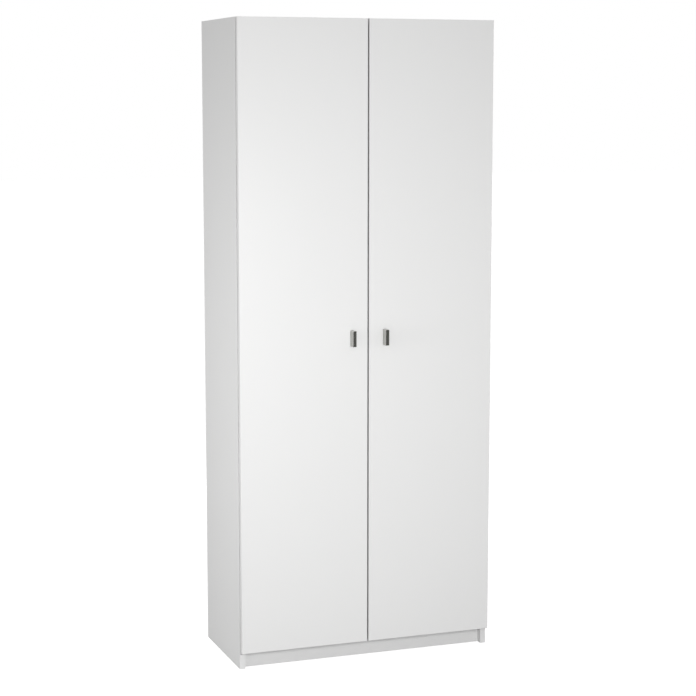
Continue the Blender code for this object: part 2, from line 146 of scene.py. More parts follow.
# Cover caps, and how far they sit from a board's end, front edge and rear edge
CAP_RADIUS = 0.0082
CAP_HEIGHT = 0.0009
CAP_FROM_END = 0.034
CAP_FROM_FRONT = 0.048
CAP_FROM_REAR = 0.062

# Shares of a cap's radius in its rim and in the slope inside it, and of its height by which its middle is
# sunk and its rim rounded
CAP_RIM = 0.16
CAP_SLOPE = 0.04
CAP_SINK = 0.25
CAP_ROUNDING = 0.4

# Nails in the back
NAIL_RADIUS = 0.0021
NAIL_HEIGHT = 0.0006
NAIL_EDGE_RADIUS = 0.0004
NAILS_IN_ROW = 8
FIRST_NAIL_X = -0.332
NAIL_PITCH = 0.0948571

# Largest angle, in degrees, between two faces that are shaded as one
BOARD_SMOOTHING = 50
FITTING_SMOOTHING = 42
STRIP_SMOOTHING = 40
PRESSED_SMOOTHING = 45

# Directions that faces are chosen by, and how much of one the normal of a chosen face has at least
UP = Vector((0, 0, 1))
DOWN = Vector((0, 0, -1))
FRONT = Vector((0, -1, 0))
SQUARE_ON = 0.9

# How near a point is to a plane or a cut that it lies on, and the share of a radius where the rim begins
ON_PLANE = 1e-6
ON_CUT = 1e-5
ON_RIM = 0.97

# Directions that a fitting modelled along +Z can be turned to
FACING = {
    "+x": (0, math.pi / 2, 0),
    "-x": (0, -math.pi / 2, 0),
    "+y": (-math.pi / 2, 0, 0),
    "+z": (0, 0, 0),
    "-z": (math.pi, 0, 0),
}

# Sockets of the Mix node that carry colours
MIX_FIRST = 6
MIX_SECOND = 7
MIX_RESULT = 2

# Floor and surround of the white studio
FLOOR_SIZE = 60
FLOOR_GREY = (0.40, 0.40, 0.40, 1)
FLOOR_GLOW = 0.86
WHITE_LIGHT = (1, 1, 1, 1)
AMBIENT = 0.494

# Lamps: name, place, target, width and power
LAMPS = (
    ("key", (-0.30, -2.55, 1.00), (-0.45, -0.16, 0.92), 0.9, 30.8),
    ("left_fill", (-1.90, -0.35, 0.88), (-0.375, 0.0, 0.88), 0.7, 12.1),
    ("rear_fill", (0.0, 2.9, 1.1), (0.0, 0.1, 0.9), 0.7, 22.0),
    ("right_fill", (2.4, 0.7, 0.95), (0.375, 0.0, 0.9), 0.8, 9.0),
)

# Camera: its place, its angle below level and round from the front in degrees, its lens and film in mm
CAMERA_PLACE = (-1.7699, -4.8797, 1.5863)
CAMERA_DOWN = 7.833
CAMERA_ROUND = -19.925
CAMERA_LENS = 94.19
CAMERA_FILM = 36


# Finishes


class Wire:
    """A socket that carries a number or a colour, so that shader maths reads as plain sums."""

    def __init__(self, finish, socket):
        self.finish = finish
        self.socket = socket

    def math(self, operation, *others, clamp=False):
        settings = {"operation": operation, "use_clamp": clamp}
        values = {0: self, **{i + 1: other for i, other in enumerate(others)}}
        return self.finish.node("ShaderNodeMath", settings, values)

    def __add__(self, other):
        return self.math("ADD", other)

    def __sub__(self, other):
        return self.math("SUBTRACT", other)

    def __mul__(self, other):
        return self.math("MULTIPLY", other)

    def __truediv__(self, other):
        return self.math("DIVIDE", other)

    __radd__ = __add__
    __rmul__ = __mul__

    def __rsub__(self, other):
        return self.finish.number(other) - self

    def least(self, other):
        return self.math("MINIMUM", other)

    def held(self):
        """The same value kept between 0 and 1."""
        return self.math("ADD", 0, clamp=True)

    def near(self, value, width):
        """1 where the value is met, falling to 0 at width away from it."""
        return (1 - (self - value).math("ABSOLUTE") / width).held()

    def under(self, value, blur):
        """1 below a value, 0 above it, with a soft step between."""
        return ((value - self) / blur + 0.5).held()


class Finish:
    """A material, with one method that adds any node and short ones for the nodes used often."""

    def __init__(self, name, uniform):
        self.material = bpy.data.materials.new(name)
        self.material.use_nodes = True
        self.tree = self.material.node_tree
        self.shader = self.tree.nodes["Principled BSDF"]
        for socket, value in uniform.items():
            self.shader.inputs[socket].default_value = value

    def node(self, kind, settings=None, values=None, output=0):
        """Adds a node: its settings first, then the numbers or links of its sockets."""
        made = self.tree.nodes.new(kind)
        for setting, value in (settings or {}).items():
            if setting == "stops":
                self.set_stops(made.color_ramp, value)
            else:
                setattr(made, setting, value)
        for socket, value in (values or {}).items():
            if isinstance(value, Wire):
                self.tree.links.new(value.socket, made.inputs[socket])
            else:
                made.inputs[socket].default_value = value
        return Wire(self, made.outputs[output])

    def set_stops(self, ramp, stops):
        while len(ramp.elements) < len(stops):
            ramp.elements.new(0.5)
        for element, (place, colour) in zip(ramp.elements, stops):
            element.position = place
            element.color = (*colour, 1)

    def number(self, value):
        """A plain number on a wire."""
        return self.node("ShaderNodeMath", {"operation": "ADD"}, {0: value, 1: 0.0})

    def place(self):
        """Position on the piece, in metres, in the frame of the whole cupboard."""
        return self.node("ShaderNodeTexCoord", output="Object")

    def stretched(self, scale):
        """The position scaled on each axis. A small number draws a pattern out along its axis."""
        return self.node("ShaderNodeMapping", {}, {"Vector": self.place(), "Scale": scale})

    def axes(self):
        """X, Y and Z of the position."""
        place = self.place()
        return [self.node("ShaderNodeSeparateXYZ", {}, {0: place}, output=i) for i in range(3)]

    def noise(self, scale, detail=2.0, roughness=0.5, at=None, distortion=0.0):
        values = {
            "Vector": at or self.place(),
            "Scale": scale,
            "Detail": detail,
            "Roughness": roughness,
            "Distortion": distortion,
        }
        return self.node("ShaderNodeTexNoise", {"noise_dimensions": "3D"}, values, output=0)

    def ramp(self, value, stops):
        return self.node("ShaderNodeValToRGB", {"stops": stops}, {0: value})

    def mix(self, mask, first, second):
        """The first colour where the mask is 0 and the second where it is 1."""
        first = first if isinstance(first, Wire) else (*first, 1)
        second = second if isinstance(second, Wire) else (*second, 1)
        values = {0: mask, MIX_FIRST: first, MIX_SECOND: second}
        return self.node("ShaderNodeMix", {"data_type": "RGBA"}, values, output=MIX_RESULT)

    def bump(self, height, strength, distance):
        values = {"Height": height, "Strength": strength, "Distance": distance}
        self.wear("Normal", self.node("ShaderNodeBump", {}, values))

    def wear(self, socket, value):
        """Feeds one of the shader's sockets."""
        self.tree.links.new(value.socket, self.shader.inputs[socket])


def nearest(from_edge, edges):
    """Distance from the nearest of the named edges."""
    distance = from_edge[edges[0]]
    for edge in edges[1:]:
        distance = distance.least(from_edge[edge])
    return distance


def chipboard(finish):
    """Colour and height of sawn chipboard: pale and dark flakes pressed flat."""
    flat = finish.stretched((1.0, 1.0, 1.6))
    flakes = finish.node(
        "ShaderNodeTexVoronoi",
        {"voronoi_dimensions": "3D", "feature": "F1"},
        {"Vector": flat, "Scale": 420.0, "Randomness": 1.0},
        output="Color",
    )
    flake = finish.node("ShaderNodeSeparateColor", {}, {0: flakes}, output=0)
    fibre = finish.noise(1600.0, detail=4.0)
    tone = (flake * 0.75 + fibre * 0.35).held()
    stops = [
        (0.08, (0.17, 0.10, 0.05)),
        (0.30, (0.36, 0.24, 0.13)),
        (0.60, (0.52, 0.38, 0.23)),
        (0.95, (0.68, 0.54, 0.36)),
    ]
    return finish.ramp(tone, stops), tone


def coated_board(
    name, box, banded=(), raw=(), meeting=None, white=CARCASS_WHITE, grain=1.0, gloss=0.44
):
    """White coated board. Banded and raw name edges by axis and sign, such as "y-" for the front edge.

    On a door's meeting edge, the one beside the other door, the band is painted a greyer white as painted
    shade for the gap between the doors.
    """
    finish = Finish(name, {"Specular IOR Level": 0.42, "IOR": 1.46})
    low, high = box
    from_edge = {}
    for letter, value, least, most in zip("xyz", finish.axes(), low, high):
        from_edge[letter + "-"] = value - least
        from_edge[letter + "+"] = most - value

    cloud = finish.noise(2.4, detail=3.0)
    pearl = finish.noise(1900.0 / grain, detail=3.0, roughness=0.6)
    speck = finish.noise(620.0 / grain, detail=2.0)
    tint = (cloud * 0.5 + pearl * 0.25 + speck * 0.25).held()
    colour = finish.mix(
        tint,
        (white * 0.985, white * 0.985, white * 0.978),
        (white * 1.012, white * 1.012, white * 1.010),
    )
    roughness = gloss + (speck - 0.5) * 0.10
    height = pearl * 0.6 + speck * 0.4

    if banded:
        distance = nearest(from_edge, banded)
        band = distance.under(BAND_THICKNESS, SEAM_WIDTH)
        seam = distance.near(BAND_THICKNESS, SEAM_WIDTH)
        band_colour_with_gap_shade = BAND_COLOUR
        # Painted shade: the band along the meeting edge is greyed to stand for the shade in the gap
        # between the doors
        if meeting:
            painted_gap_shade = from_edge[meeting].under(BAND_THICKNESS, SEAM_WIDTH)
            band_colour_with_gap_shade = finish.mix(painted_gap_shade, BAND_COLOUR, GAP_SHADE_BAND_COLOUR)
        colour = finish.mix(band, colour, band_colour_with_gap_shade)
        colour = finish.mix(seam * SEAM_DARKNESS, colour, SEAM_COLOUR)
        roughness = roughness - band * 0.06 + seam * 0.2
        height = height * (1 - band * 0.7) - seam * 1.2
    if raw:
        bare = nearest(from_edge, raw).under(RAW_DEPTH, RAW_BLUR)
        core, chips = chipboard(finish)
        colour = finish.mix(bare, colour, core)
        roughness = roughness * (1 - bare) + bare * 0.88
        height = height * (1 - bare) + chips * bare * 3.0

    finish.wear("Base Color", colour)
    finish.wear("Roughness", roughness)
    finish.bump(height, 0.16, 0.00012)
    return finish.material


def hardboard(name, front_plane):
    """Thin back board: painted white on the front, bare brown fibre on the rear and the edges."""
    finish = Finish(name, {"Specular IOR Level": 0.3})
    depth = finish.axes()[1]
    painted = depth.under(front_plane + PAINT_DEPTH, PAINT_BLUR)
    fibres = finish.noise(900.0, detail=6.0, roughness=0.65, at=finish.stretched((1.0, 1.0, 0.35)))
    cloud = finish.noise(9.0, detail=4.0)
    fleck = finish.noise(260.0, detail=2.0, distortion=0.6)
    tone = (fibres * 0.60 + cloud * 0.12 + fleck * 0.30).held()
    stops = [
        (0.25, (0.105, 0.056, 0.028)),
        (0.50, (0.200, 0.118, 0.062)),
        (0.78, (0.330, 0.212, 0.120)),
    ]
    brown = finish.ramp(tone, stops)
    paint = finish.mix(fibres, (0.74, 0.74, 0.725), (0.80, 0.80, 0.79))
    finish.wear("Base Color", finish.mix(painted, brown, paint))
    finish.wear("Roughness", 0.74 - painted * 0.2 + (fibres - 0.5) * 0.12)
    finish.bump(fibres * (1 - painted * 0.8) + fleck * 0.4, 0.3, 0.00018)
    return finish.material


def white_plastic(name, drawn=(1.0, 1.0, 1.0)):
    """Moulded plastic, or drawn plastic with its marks stretched along the way it left the die."""
    finish = Finish(name, {"Specular IOR Level": 0.5, "IOR": 1.5})
    lines = finish.noise(1400.0, detail=3.0, at=finish.stretched(drawn))
    mottle = finish.noise(90.0, detail=2.0)
    tone = lines * 0.5 + mottle * 0.5
    finish.wear("Base Color", finish.mix(tone, (0.76, 0.76, 0.75), (0.83, 0.83, 0.82)))
    finish.wear("Roughness", 0.34 + lines * 0.12)
    finish.bump(lines, 0.12, 0.00008)
    return finish.material


def plated_steel(name, dark, bright, rough, brushed=(1.0, 1.0, 1.0)):
    """Plated or polished metal with fine working marks and cloudy variation in gloss."""
    finish = Finish(name, {"Metallic": 1.0})
    marks = finish.noise(2200.0, detail=4.0, roughness=0.6, at=finish.stretched(brushed))
    cloud = finish.noise(160.0, detail=3.0)
    finish.wear("Base Color", finish.mix(marks * 0.4 + cloud * 0.6, dark, bright))
    finish.wear("Roughness", rough + (marks - 0.5) * 0.16 + (cloud - 0.5) * 0.10)
    finish.bump(marks, 0.10, 0.00006)
    return finish.material


def smoked_lacquer(name):
    """Dark grey lacquer over drawn metal: fine upright lines under a satin film."""
    finish = Finish(name, {"Specular IOR Level": 0.35, "IOR": 1.45, "Metallic": 0.15})
    lines = finish.noise(2600.0, detail=3.0, at=finish.stretched((1.0, 1.0, 0.05)))
    cloud = finish.noise(210.0, detail=2.0)
    tone = lines * 0.6 + cloud * 0.4
    finish.wear("Base Color", finish.mix(tone, (0.050, 0.050, 0.044), (0.078, 0.078, 0.070)))
    finish.wear("Roughness", 0.36 + lines * 0.12)
    finish.bump(lines, 0.10, 0.00005)
    return finish.material


def clear_rubber(name):
    """Clear soft plastic with a faint haze."""
    finish = Finish(name, {"Transmission Weight": 0.55, "IOR": 1.48})
    haze = finish.noise(700.0, detail=3.0)
    finish.wear("Base Color", finish.mix(haze, (0.80, 0.81, 0.80), (0.90, 0.91, 0.90)))
    finish.wear("Roughness", 0.22 + haze * 0.16)
    finish.bump(haze, 0.08, 0.00006)
    return finish.material


# Modelling by hand


def deselect():
    bpy.ops.object.select_all(action="DESELECT")


def take(piece):
    """Makes a piece the only one selected, and the active one."""
    deselect()
    piece.select_set(True)
    bpy.context.view_layer.objects.active = piece


def settle(piece):
    """Moves a piece's place and turn into its mesh, which leaves its object at the origin."""
    take(piece)
    bpy.ops.object.transform_apply(location=True, rotation=True, scale=True)
    return piece


def named(piece, name):
    piece.name = name
    piece.data.name = name
    return piece


def discard(*pieces):
    """Removes patterns and tool bodies that have done their work."""
    for piece in pieces:
        bpy.data.objects.remove(piece)


def block(name, low, high):
    """A box between two corners."""
    deselect()
    low, high = Vector(low), Vector(high)
    bpy.ops.mesh.primitive_cube_add(size=1, location=(low + high) / 2, scale=high - low)
    return settle(named(bpy.context.object, name))


def rod(name, centre, radius, length, facing="+z", sides=32):
    """A round bar, with its middle at centre."""
    deselect()
    bpy.ops.mesh.primitive_cylinder_add(
        vertices=sides, radius=radius, depth=length, location=centre, rotation=FACING[facing]
    )
    return settle(named(bpy.context.object, name))


def start_editing(piece, kind):
    """Opens a piece in edit mode with nothing selected. The kind is VERT, EDGE or FACE."""
    take(piece)
    bpy.ops.object.mode_set(mode="EDIT")
    bpy.ops.mesh.select_mode(type=kind)
    bpy.ops.mesh.select_all(action="DESELECT")


def stop_editing():
    bpy.ops.object.mode_set(mode="OBJECT")


def choose_faces(piece, way):
    """In edit mode, selects the faces that look one way."""
    shape = bmesh.from_edit_mesh(piece.data)
    for face in shape.faces:
        face.select_set(face.normal.dot(way) > SQUARE_ON)
    bmesh.update_edit_mesh(piece.data)


def choose_edges(piece, test):
    """In edit mode, selects the edges whose two ends pass a test."""
    shape = bmesh.from_edit_mesh(piece.data)
    for edge in shape.edges:
        edge.select_set(bool(test(edge.verts[0].co, edge.verts[1].co)))
    bmesh.update_edit_mesh(piece.data)


def choose_points(piece, test):
    """In edit mode, selects the points that pass a test."""
    shape = bmesh.from_edit_mesh(piece.data)
    for point in shape.verts:
        point.select_set(bool(test(point.co)))
    shape.select_flush_mode()
    bmesh.update_edit_mesh(piece.data)


def on_top(a, b, height):
    """Whether both ends of an edge lie in the top plane of a fitting."""
    return min(a.z, b.z) > height - ON_PLANE


def on_top_rim(a, b, height, radius):
    """Whether both ends of an edge lie on the outer circle of a fitting's top."""
    return on_top(a, b, height) and min(a.xy.length, b.xy.length) > radius * ON_RIM


def round_edges(piece, radius, segments=3, test=lambda a, b: True):
    """Rounds the edges that pass a test, or all of them."""
    start_editing(piece, "EDGE")
    choose_edges(piece, test)
    bpy.ops.mesh.bevel(
        offset=radius, segments=segments, profile=0.5, affect="EDGES", clamp_overlap=True
    )
    stop_editing()
    return piece


def apply_step(piece, kind, **settings):
    """Adds one modifier and applies it."""
    step = piece.modifiers.new(kind.lower(), kind)
    for setting, value in settings.items():
        setattr(step, setting, value)
    take(piece)
    bpy.ops.object.modifier_apply(modifier=step.name)
    return piece


def cut_away(piece, tools):
    """Cuts tool bodies that don't touch each other out of a piece in one go, and removes them."""
    deselect()
    for tool in tools:
        tool.select_set(True)
    bpy.context.view_layer.objects.active = tools[0]
    if len(tools) > 1:
        bpy.ops.object.join()
    tool = bpy.context.object
    apply_step(piece, "BOOLEAN", operation="DIFFERENCE", solver="EXACT", object=tool)
    discard(tool)
    return piece


def smooth(piece, degrees=BOARD_SMOOTHING):
    """Shades round parts smoothly and keeps wide faces flat right up to their rounded edges."""
    take(piece)
    bpy.ops.object.shade_smooth_by_angle(angle=math.radians(degrees))
    return apply_step(piece, "WEIGHTED_NORMAL", mode="FACE_AREA", weight=60, keep_sharp=True)


def copy_to(pattern, name, place, facing):
    """A copy of a fitting that was modelled at the origin along +Z, with its own mesh."""
    take(pattern)
    bpy.ops.object.duplicate(linked=False)
    made = named(bpy.context.object, name)
    made.location = place
    made.rotation_euler = FACING[facing]
    return settle(made)


def dress(piece, finish, slot, body, *replaced):
    """Gives a piece its finish, its body and the solids that it stands for. The slot argument is not used.
    """
    piece.data.materials.clear()
    piece.data.materials.append(finish)
    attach(piece, body)
    if replaced:
        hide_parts(*replaced)
    return piece


def refinish(node, finish):
    """Gives a solid of the frame, which stays as it is, a better finish."""
    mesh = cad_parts[node].data
    mesh.materials.clear()
    mesh.materials.append(finish)


def middle_of(node):
    low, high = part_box(node)
    return (low + high) / 2


def inner_face(side):
    """X of the face of a side board that looks into the cupboard."""
    low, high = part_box(side + "_side_panel")
    return high.x if side == "left" else low.x


# Boards of the carcass


def peg_holes(side, inner):
    """Tool bodies for the holes of the shelf pegs: each peg's own, one above it and one below."""
    tools = []
    for level in LEVELS:
        for row in ROWS:
            peg = middle_of(f"shelf_pin_{level}_{side}_{row}")
            for step in (-1, 0, 1):
                centre = (inner, peg.y, peg.z + step * PEG_HOLE_PITCH)
                hole = rod("peg_hole", centre, PEG_HOLE_RADIUS, 2 * PEG_HOLE_DEPTH, "+x", sides=16)
                tools.append(hole)
    return tools


def model_side_board(side):
    node = side + "_side_panel"
    low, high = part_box(node)
    inner = inner_face(side)
    board = round_edges(block(side + "_side_board", low, high), BOARD_EDGE_RADIUS)
    back_low, back_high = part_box("back_panel_" + side)
    slit_low = (inner - GROOVE_DEPTH, back_low.y - FIT, low.z - GROOVE_DEPTH)
    slit_high = (inner + GROOVE_DEPTH, back_high.y + FIT, back_high.z + FIT)
    cut_away(board, [block("groove", slit_low, slit_high)])
    cut_away(board, peg_holes(side, inner))
    smooth(board)
    finish = coated_board(side + "_side_coating", (low, high), banded=("y-",), raw=("y+", "z-"))
    dress(board, finish, "coated_board", "carcass", node)


def model_top_board():
    low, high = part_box("top_panel")
    board = round_edges(block("top_board", low, high), BOARD_EDGE_RADIUS)
    back_low, back_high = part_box("back_panel_left")
    slit_low = (low.x - GROOVE_DEPTH, back_low.y - FIT, low.z - GROOVE_DEPTH)
    slit_high = (high.x + GROOVE_DEPTH, back_high.y + FIT, low.z + GROOVE_DEPTH)
    cut_away(board, [block("groove", slit_low, slit_high)])
    smooth(board)
    finish = coated_board("top_coating", (low, high), banded=("y-",), raw=("y+",))
    dress(board, finish, "coated_board", "carcass", "top_panel")


def model_plain_board(name, node, raw):
    """A board without holes: a shelf, the floor board or the plinth."""
    low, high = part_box(node)
    board = smooth(round_edges(block(name, low, high), BOARD_EDGE_RADIUS))
    finish = coated_board(name + "_coating", (low, high), banded=("y-",), raw=raw)
    dress(board, finish, "coated_board", "carcass", node)


# Doors and pulls


def model_door(side):
    node = side + "_door"
    low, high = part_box(node)
    board = round_edges(block(side + "_door_board", low, high), DOOR_EDGE_RADIUS)
    tools = []
    for level in LEVELS:
        cup = middle_of(f"{side}_hinge_cup_{level}")
        centre = (cup.x, high.y, cup.z)
        bore = rod("cup_bore", centre, CUP_BORE_RADIUS, 2 * CUP_BORE_DEPTH, "+y", sides=48)
        tools.append(bore)
    for word in PULL_SCREWS:
        screw = middle_of(f"{side}_handle_screw_{word}")
        centre = (screw.x, (low.y + high.y) / 2, screw.z)
        hole = rod("screw_hole", centre, PULL_SCREW_HOLE, THROUGH_DOOR, "+y", sides=16)
        tools.append(hole)
    cut_away(board, tools)
    smooth(board)
    finish = coated_board(
        side + "_door_coating",
        (low, high),
        banded=("x-", "x+", "z-", "z+"),
        # The meeting edge gets a band painted greyer as painted shade for the gap between the doors
        meeting="x+" if side == "left" else "x-",
        white=DOOR_WHITE,
        grain=0.7,
        gloss=0.40,
    )
    dress(board, finish, "door_front", side + "_door_leaf", node)


def model_pull(side, satin):
    """A small upright block with a recess in its front for the dark strip."""
    node = side + "_handle"
    low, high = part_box(node)
    pull = block(side + "_pull_body", low, high)
    start_editing(pull, "FACE")
    choose_faces(pull, FRONT)
    bpy.ops.mesh.inset(thickness=PULL_RIM, depth=0.0)
    bpy.ops.mesh.extrude_region_move(TRANSFORM_OT_translate={"value": (0, PULL_RECESS, 0)})
    stop_editing()

    def at_corner(point):
        from_sides = min(abs(point.x - low.x), abs(point.x - high.x))
        from_ends = min(abs(point.z - low.z), abs(point.z - high.z))
        return from_sides < ON_PLANE and from_ends < ON_PLANE

    round_edges(pull, PULL_CORNER_RADIUS, test=lambda a, b: at_corner(a) and at_corner(b))
    sockets = []
    for word in PULL_SCREWS:
        screw = middle_of(f"{side}_handle_screw_{word}")
        centre = (screw.x, high.y, screw.z)
        socket = rod("socket", centre, PULL_SCREW_HOLE, 2 * PULL_SOCKET_DEPTH, "+y", sides=16)
        sockets.append(socket)
    cut_away(pull, sockets)
    smooth(pull)
    dress(pull, satin, "handle_metal", side + "_door_leaf", node)


def model_pull_strip(side, smoked):
    """The dark strip in a pull's recess, scooped along the middle of its front."""
    low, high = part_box(side + "_handle")
    strip_low = (
        low.x + PULL_RIM + STRIP_PLAY,
        low.y + STRIP_SET_BACK,
        low.z + PULL_RIM + STRIP_PLAY,
    )
    strip_high = (
        high.x - PULL_RIM - STRIP_PLAY,
        low.y + PULL_RECESS - STRIP_PLAY,
        high.z - PULL_RIM - STRIP_PLAY,
    )
    strip = block(side + "_pull_strip", strip_low, strip_high)
    centre = (low + high) / 2
    start_editing(strip, "VERT")
    for offset, _ in STRIP_SCOOP:
        for sign in (-1, 1) if offset else (1,):
            bpy.ops.mesh.select_all(action="SELECT")
            bpy.ops.mesh.bisect(plane_co=(centre.x + sign * offset, 0, 0), plane_no=(1, 0, 0))
    for sign in (-1, 1):
        for offset in SCOOP_ENDS:
            bpy.ops.mesh.select_all(action="SELECT")
            bpy.ops.mesh.bisect(plane_co=(0, 0, centre.z + sign * offset), plane_no=(0, 0, 1))
    for offset, depth in STRIP_SCOOP:
        choose_points(
            strip,
            lambda p: abs(abs(p.x - centre.x) - offset) < ON_CUT
            and abs(p.z - centre.z) < SCOOP_ENDS[0] + ON_CUT
            and p.y < strip_low[1] + ON_CUT,
        )
        bpy.ops.transform.translate(value=(0, depth, 0))
    stop_editing()
    smooth(strip, STRIP_SMOOTHING)
    dress(strip, smoked, "handle_metal", side + "_door_leaf")


# Fittings


def model_cross_head(name, radius, height, shank_radius=0.0, shank_length=0.0):
    """A screw along +Z: a domed head on the plane z = 0 with a cross cut into it, and a shank below."""
    screw = rod(name, (0, 0, height / 2), radius, height, sides=28)
    if shank_length:
        start_editing(screw, "FACE")
        choose_faces(screw, DOWN)
        bpy.ops.mesh.inset(thickness=radius - shank_radius, depth=0.0)
        bpy.ops.mesh.extrude_region_move(TRANSFORM_OT_translate={"value": (0, 0, -shank_length)})
        stop_editing()
    dome = height * HEAD_DOME
    round_edges(screw, dome, 4, lambda a, b: on_top(a, b, height) and (a - b).length < radius)
    reach = radius * CROSS_REACH
    width = radius * CROSS_WIDTH
    depth = height * CROSS_DEPTH
    for across, along in ((width, reach), (reach, width)):
        tool_low = (-across, -along, height - depth)
        cut_away(screw, [block("cross", tool_low, (across, along, height + depth))])
    return smooth(screw, FITTING_SMOOTHING)


def model_cap(name, radius, height):
    """A round cover cap along +Z with a rounded rim and a sunk middle."""
    cap = rod(name, (0, 0, height / 2), radius, height, sides=40)
    start_editing(cap, "FACE")
    choose_faces(cap, UP)
    bpy.ops.mesh.inset(thickness=radius * CAP_RIM, depth=0.0)
    bpy.ops.mesh.inset(thickness=radius * CAP_SLOPE, depth=-height * CAP_SINK)
    stop_editing()
    round_edges(cap, height * CAP_ROUNDING, test=lambda a, b: on_top_rim(a, b, height, radius))
    return smooth(cap, FITTING_SMOOTHING)


def model_peg(name, head_radius, head_length, peg_radius, peg_length):
    """A shelf peg along +Z: its head above the plane z = 0 and its round peg below."""
    peg = rod(name, (0, 0, head_length / 2), head_radius, head_length, sides=24)
    start_editing(peg, "FACE")
    choose_faces(peg, DOWN)
    bpy.ops.mesh.inset(thickness=head_radius - peg_radius, depth=0.0)
    bpy.ops.mesh.extrude_region_move(TRANSFORM_OT_translate={"value": (0, 0, -peg_length)})
    choose_faces(peg, UP)
    bpy.ops.mesh.inset(thickness=head_radius * PEG_RIM, depth=0.0)
    bpy.ops.mesh.inset(thickness=head_radius * PEG_SLOPE, depth=-PEG_DIMPLE)
    stop_editing()

    def at_an_end(a, b):
        at_foot = max(a.z, b.z) < -peg_length + ON_PLANE
        return at_foot or on_top_rim(a, b, head_length, head_radius)

    round_edges(peg, PEG_END_RADIUS, test=at_an_end)
    return smooth(peg, FITTING_SMOOTHING)


def fit_pegs(steel):
    low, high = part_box("shelf_pin_low_left_front")
    inner = inner_face("left")
    head_radius = (high.z - low.z) / 2
    head_length = high.x - inner - FIT
    peg_length = inner - low.x + FIT
    pattern = model_peg("peg_pattern", head_radius, head_length, PEG_RADIUS, peg_length)
    for level in LEVELS:
        for side in SIDES:
            inward, sign = INWARD[side]
            start = inner_face(side) + sign * FIT
            for row in ROWS:
                node = f"shelf_pin_{level}_{side}_{row}"
                centre = middle_of(node)
                place = (start, centre.y, centre.z)
                peg = copy_to(pattern, f"shelf_peg_{level}_{side}_{row}", place, inward)
                dress(peg, steel, "zinc_steel", "carcass", node)
    discard(pattern)


def fit_pull_screws(steel):
    """The screws that hold the pulls, with their heads on the inside of the doors."""
    low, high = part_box("left_handle_screw_lower")
    door_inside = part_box("left_door")[1].y
    height = high.y - door_inside - FIT
    radius = (high.x - low.x) / 2
    shank = door_inside + FIT - low.y
    pattern = model_cross_head("pull_screw_pattern", radius, height, PULL_SCREW_SHANK, shank)
    for side in SIDES:
        for word in PULL_SCREWS:
            node = f"{side}_handle_screw_{word}"
            centre = middle_of(node)
            place = (centre.x, door_inside + FIT, centre.z)
            screw = copy_to(pattern, f"{side}_pull_screw_{word}", place, "+y")
            dress(screw, steel, "zinc_steel", side + "_door_leaf", node)
    discard(pattern)


def fit_pads(rubber):
    """Soft domed pads on the inside of the doors."""
    low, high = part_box("left_door_buffer_low")
    height = high.y - low.y
    pattern = rod("pad_pattern", (0, 0, height / 2), (high.x - low.x) / 2, height, sides=32)
    round_edges(pattern, height * PAD_DOME, 5, lambda a, b: on_top(a, b, height))
    smooth(pattern, FITTING_SMOOTHING)
    for side in SIDES:
        for level in ("low", "high"):
            node = f"{side}_door_buffer_{level}"
            centre = middle_of(node)
            pad = copy_to(pattern, f"{side}_door_pad_{level}", (centre.x, low.y, centre.z), "+y")
            dress(pad, rubber, "clear_buffer", side + "_door_leaf", node)
    discard(pattern)


def softened(node, name, radius):
    """A pressed metal piece: a copy of its solid with merged points and rounded edges."""
    take(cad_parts[node])
    bpy.ops.object.duplicate(linked=False)
    made = named(bpy.context.object, name)
    made.parent = None
    for key in list(made.keys()):
        del made[key]
    start_editing(made, "FACE")
    bpy.ops.mesh.select_all(action="SELECT")
    bpy.ops.mesh.remove_doubles(threshold=MERGE_DISTANCE)
    bpy.ops.mesh.dissolve_limited(angle_limit=math.radians(FLAT_ANGLE))
    stop_editing()
    apply_step(
        made,
        "BEVEL",
        width=radius,
        segments=2,
        limit_method="ANGLE",
        angle_limit=math.radians(SHARP_ANGLE),
        use_clamp_overlap=True,
    )
    return smooth(made, PRESSED_SMOOTHING)


def fit_hinges(steel, nickel):
    """Cups, arms and plates with their screws, and the finish of the pins that join cup and arm."""
    cup_screw = model_cross_head("cup_screw_pattern", *CUP_SCREW_HEAD)
    plate_screw = model_cross_head("plate_screw_pattern", *PLATE_SCREW_HEAD)
    arm_screw = model_cross_head("arm_screw_pattern", *ARM_SCREW_HEAD)
    for side in SIDES:
        inward, sign = INWARD[side]
        leaf = side + "_door_leaf"
        for level in LEVELS:
            cup_node = f"{side}_hinge_cup_{level}"
            cup = softened(cup_node, f"{side}_cup_{level}", CUP_EDGE_RADIUS)
            dress(cup, steel, "zinc_steel", leaf, cup_node)
            low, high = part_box(cup_node)
            centre = (low + high) / 2
            for word, offset in CUP_SCREW_PLACES:
                place = (centre.x, high.y, centre.z + offset)
                screw = copy_to(cup_screw, f"{side}_cup_screw_{level}_{word}", place, "+y")
                dress(screw, steel, "zinc_steel", leaf)

            arm_node = f"{side}_hinge_arm_{level}"
            arm = softened(arm_node, f"{side}_arm_{level}", ARM_EDGE_RADIUS)
            dress(arm, nickel, "nickel_steel", "carcass", arm_node)
            low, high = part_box(arm_node)
            arm_face = high.x if sign > 0 else low.x
            for word, offset in ARM_SCREW_PLACES:
                place = (arm_face, high.y - offset, centre.z)
                screw = copy_to(arm_screw, f"{side}_arm_screw_{level}_{word}", place, inward)
                dress(screw, steel, "nickel_steel", "carcass")

            plate_node = f"{side}_hinge_plate_{level}"
            plate = softened(plate_node, f"{side}_plate_{level}", PLATE_EDGE_RADIUS)
            dress(plate, nickel, "nickel_steel", "carcass", plate_node)
            plate_centre = middle_of(plate_node)
            plate_face = inner_face(side) + sign * (FIT + PLATE_WING)
            for word, offset in PLATE_SCREW_PLACES:
                place = (plate_face, plate_centre.y, plate_centre.z + offset)
                screw = copy_to(plate_screw, f"{side}_plate_screw_{level}_{word}", place, inward)
                dress(screw, steel, "zinc_steel", "carcass")
            refinish(f"{side}_hinge_pin_{level}", steel)
    discard(cup_screw, plate_screw, arm_screw)


